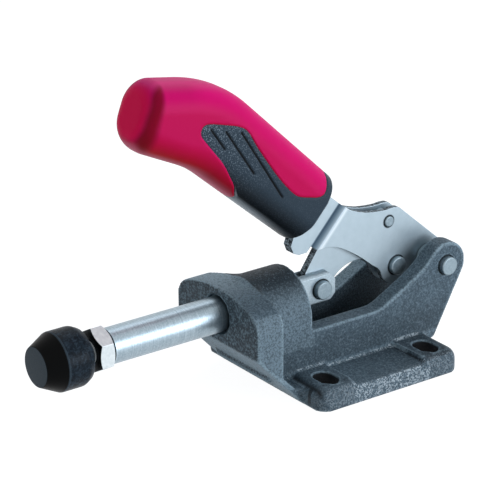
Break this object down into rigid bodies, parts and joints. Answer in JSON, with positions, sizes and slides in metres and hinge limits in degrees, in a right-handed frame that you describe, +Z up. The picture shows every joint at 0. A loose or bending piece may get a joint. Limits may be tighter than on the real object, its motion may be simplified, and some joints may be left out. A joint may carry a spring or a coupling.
{
  "type": "push-pull toggle clamp",
  "caption": "Push-pull toggle clamp on a slotted cast base, with a hand lever, a linkage, a sliding plunger rod and a screwed rubber pressure pad.",
  "frame": {"origin": "centre of the four mounting slots, on the face that rests on the machine table", "axes": "-Y is the direction the plunger pushes, +X is the clamp's right-hand side seen from behind, +Z is up from the table"},
  "size_m": [0.088, 0.2162, 0.1522],
  "materials": {
    "cast_paint": "blue-grey paint on cast iron",
    "ground_steel": "ground and polished",
    "zinc_sheet": "zinc-plated sheet",
    "pin_steel": "turned steel",
    "nut_steel": "bright zinc",
    "grip_red": "satin",
    "grip_black": "fine grain",
    "pad_rubber": "matt"
  },
  "bodies": {
    "housing": {"housing": "cast_paint", "pivot_pin": "pin_steel", "side_collar_right": "pin_steel", "side_collar_left": "pin_steel"},
    "lever": {"lever_plate_right": "zinc_sheet", "lever_plate_left": "zinc_sheet", "link_pin": "pin_steel", "lever_rivet": "nut_steel", "rivet_sleeve": "pin_steel", "tang_rivets": "pin_steel", "grip_core": "grip_black", "grip_shell": "grip_red"},
    "rod": {"push_rod": "ground_steel", "rod_pin": "pin_steel"},
    "link": {"link_plate": "zinc_sheet"},
    "nut": {"lock_nut": "nut_steel"},
    "thrust_screw": {"pad_stud": "nut_steel", "pad_plate": "zinc_sheet", "thrust_pad": "pad_rubber"}
  },
  "joints": [
    {"name": "lever_swing", "type": "hinge", "parent": "housing", "child": "lever", "pos_m": [0, 0.05, 0.04], "axis": [-1, 0, 0], "range_deg": [0, 90]},
    {"name": "rod_slide", "type": "slide", "parent": "housing", "child": "rod", "axis": [0, 1, 0], "range_m": [0, 0.02138]},
    {"name": "link_swing", "type": "hinge", "parent": "rod", "child": "link", "pos_m": [0, -0.01, 0.0385], "axis": [1, 0, 0], "range_deg": [0, 24.9]},
    {"name": "nut_travel", "type": "slide", "parent": "rod", "child": "nut", "axis": [0, -1, 0], "range_m": [0, 0.007]},
    {"name": "screw_turn", "type": "hinge", "parent": "nut", "child": "thrust_screw", "pos_m": [0, -0.1213, 0.0385], "axis": [0, -1, 0], "range_deg": [0, 1440.5]}
  ],
  "couplings": [
    {"joint": "rod_slide", "follows": "lever_swing", "m_per_rad": 0.013601},
    {"joint": "link_swing", "follows": "lever_swing", "ratio": 0.2765},
    {"joint": "screw_turn", "follows": "nut_travel", "rad_per_m": 3590.4}
  ]
}
